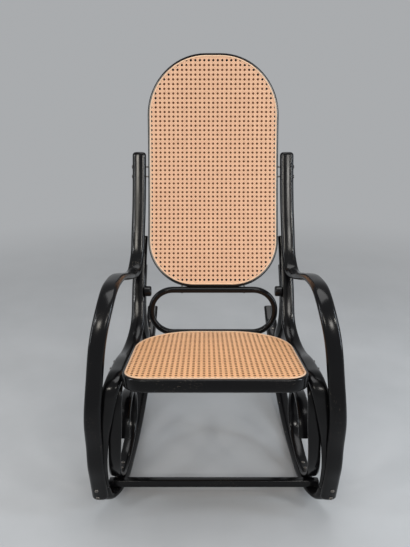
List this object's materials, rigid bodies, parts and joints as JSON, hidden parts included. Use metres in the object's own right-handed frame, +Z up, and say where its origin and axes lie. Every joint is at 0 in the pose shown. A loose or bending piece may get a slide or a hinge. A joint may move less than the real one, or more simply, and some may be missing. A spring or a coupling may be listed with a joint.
{
  "type": "bentwood rocking chair",
  "caption": "Rocking chair of bent black lacquered strips with arms, scrolls and long runners, a tilted cane seat, a tall curved cane back and a ring between them.",
  "frame": {"origin": "middle of the bounding box at floor height, under the chair", "axes": "-Y to the front where the sitter's feet go, +X to the right of someone who faces the chair, +Z up"},
  "size_m": [0.614, 0.9592, 1.1434],
  "materials": {
    "black_wood": "worn gloss lacquer",
    "cane": "woven cane, satin",
    "reed": "round reed, satin",
    "screws": "aged domed screw heads"
  },
  "bodies": {
    "root": {"arm_upright_left": "black_wood", "arm_upright_right": "black_wood", "side_band_left": "black_wood", "side_band_right": "black_wood", "runner_left": "black_wood", "runner_right": "black_wood", "rear_strut_left": "black_wood", "rear_strut_right": "black_wood", "scroll_left": "black_wood", "scroll_right": "black_wood", "peg_left": "black_wood", "peg_right": "black_wood", "seat_frame": "black_wood", "back_frame": "black_wood", "lumbar_ring": "black_wood", "front_stretcher": "black_wood", "seat_cane": "cane", "back_cane": "cane", "seat_reed": "reed", "back_reed": "reed", "foot_screws": "screws", "scroll_screws": "screws", "strut_screws": "screws", "stretcher_screws": "screws", "seat_bolts": "screws", "back_bolts": "screws", "ring_bolts": "screws"}
  },
  "joints": []
}
